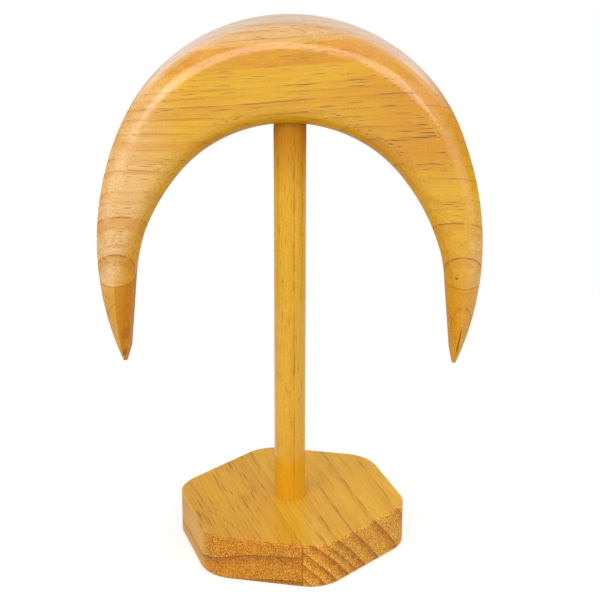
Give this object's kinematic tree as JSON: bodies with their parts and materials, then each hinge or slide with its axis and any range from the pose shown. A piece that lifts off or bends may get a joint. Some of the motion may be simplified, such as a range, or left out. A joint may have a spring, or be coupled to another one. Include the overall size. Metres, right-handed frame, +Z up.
{
  "type": "milliner's hat stand",
  "caption": "Free-standing pine hat stand: a thick rounded crescent on a round post over a hexagonal base, turning on the post so that a hat can face any way.",
  "frame": {"origin": "on the post's axis at the underside of the base", "axes": "+Z up along the post; X across the crescent from tip to tip at rest; -Y towards the viewer of the picture"},
  "size_m": [0.1892, 0.1144, 0.2735],
  "materials": {
    "pine_arch": "honey-coloured pine under clear gloss lacquer, grain across the arch",
    "pine_tips": "slightly more orange pine under clear gloss lacquer",
    "pine_post": "straight-grained pine dowel under clear gloss lacquer",
    "pine_base_left": "flat-sawn pine with short dark resin strokes under clear gloss lacquer",
    "pine_base_right": "flat-sawn pine with slanting end-grain rings under clear gloss lacquer",
    "zinc_steel": "bright zinc-plated steel"
  },
  "bodies": {
    "stand": {"base_left_board": "pine_base_left", "base_right_board": "pine_base_right", "base_screw": "zinc_steel", "post": "pine_post"},
    "head": {"arch_board": "pine_arch", "crescent_tips": "pine_tips"}
  },
  "joints": [
    {"name": "head_turn", "type": "hinge", "parent": "stand", "child": "head", "pos_m": [0, 0, 0.237], "axis": [0, 0, 1], "continuous": true}
  ]
}
